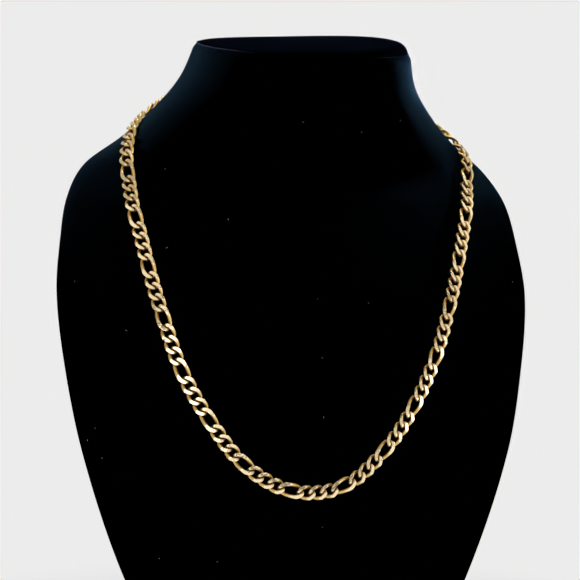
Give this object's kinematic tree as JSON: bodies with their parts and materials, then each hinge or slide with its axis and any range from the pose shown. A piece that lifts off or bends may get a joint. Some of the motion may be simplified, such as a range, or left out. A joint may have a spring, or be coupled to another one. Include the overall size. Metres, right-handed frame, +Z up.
{
  "type": "figaro chain necklace on display neck bust",
  "caption": "Gold figaro link chain necklace, a whole closed loop with its clasp behind the neck, draped on a free-standing black velvet display neck bust.",
  "frame": {"origin": "middle of the bust's base at its middle depth, on the surface that it stands on", "axes": "+Z up the neck, the front of the bust with the chain faces -Y, +X to the viewer's right"},
  "size_m": [0.183, 0.1082, 0.2375],
  "materials": {
    "velvet": "short black velvet pile",
    "gold": null
  },
  "bodies": {
    "root": {"neck_bust": "velvet", "chain_left": "gold", "chain_right": "gold", "clasp": "gold", "jump_ring_left": "gold", "jump_ring_right": "gold"}
  },
  "joints": []
}
